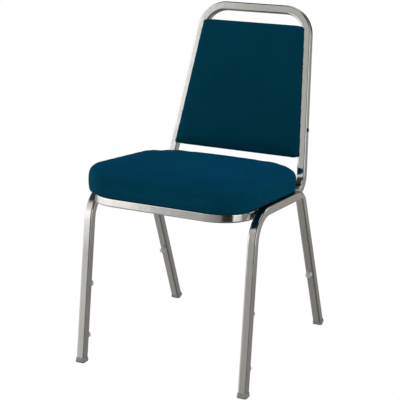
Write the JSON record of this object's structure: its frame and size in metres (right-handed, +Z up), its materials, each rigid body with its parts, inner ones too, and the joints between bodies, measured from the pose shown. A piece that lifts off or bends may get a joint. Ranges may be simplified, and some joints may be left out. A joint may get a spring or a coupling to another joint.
{
  "type": "stacking chair",
  "caption": "Stacking chair with a welded square-tube frame, a padded seat and a padded back panel between the posts.",
  "frame": {"origin": "on the floor, at the middle of the chair's outer box", "axes": "+Z up, the front of the seat towards -Y, +X to the sitter's left, which is the right in a front view"},
  "size_m": [0.4866, 0.5898, 0.8675],
  "materials": {
    "chromed_tube": "bright chrome plate",
    "plain_steel": "bare drawn tube",
    "zinc_fasteners": "zinc plated",
    "board": "plywood",
    "foam": "cut polyurethane foam",
    "cover_fabric": "fine woven upholstery, navy teal",
    "dust_cover": "black spun-bonded lining",
    "glide_plastic": "grey moulded nylon",
    "bumper_plastic": "light grey translucent plastic"
  },
  "bodies": {
    "root": {"back_frame_tube": "chromed_tube", "seat_front_rail": "chromed_tube", "leg_frame_right": "chromed_tube", "leg_frame_left": "chromed_tube", "rear_cross_rail": "chromed_tube", "seat_mounting_tabs": "chromed_tube", "back_mounting_tabs": "chromed_tube", "weld_beads": "chromed_tube", "rail_joint_sleeves": "plain_steel", "seat_tee_nuts": "zinc_fasteners", "back_tee_nuts": "zinc_fasteners", "seat_screws": "zinc_fasteners", "back_screws": "zinc_fasteners", "seat_base_board": "board", "back_board": "board", "seat_foam": "foam", "back_front_foam": "foam", "back_rear_foam": "foam", "seat_cover": "cover_fabric", "back_cover": "cover_fabric", "seat_dust_cover": "dust_cover", "glide_front_right": "glide_plastic", "glide_front_left": "glide_plastic", "glide_rear_right": "glide_plastic", "glide_rear_left": "glide_plastic", "bumper_front_upper_right": "bumper_plastic", "bumper_front_upper_left": "bumper_plastic", "bumper_front_lower_right": "bumper_plastic", "bumper_front_lower_left": "bumper_plastic", "bumper_rear_right": "bumper_plastic", "bumper_rear_left": "bumper_plastic", "bumper_post_right": "bumper_plastic", "bumper_post_left": "bumper_plastic"}
  },
  "joints": []
}
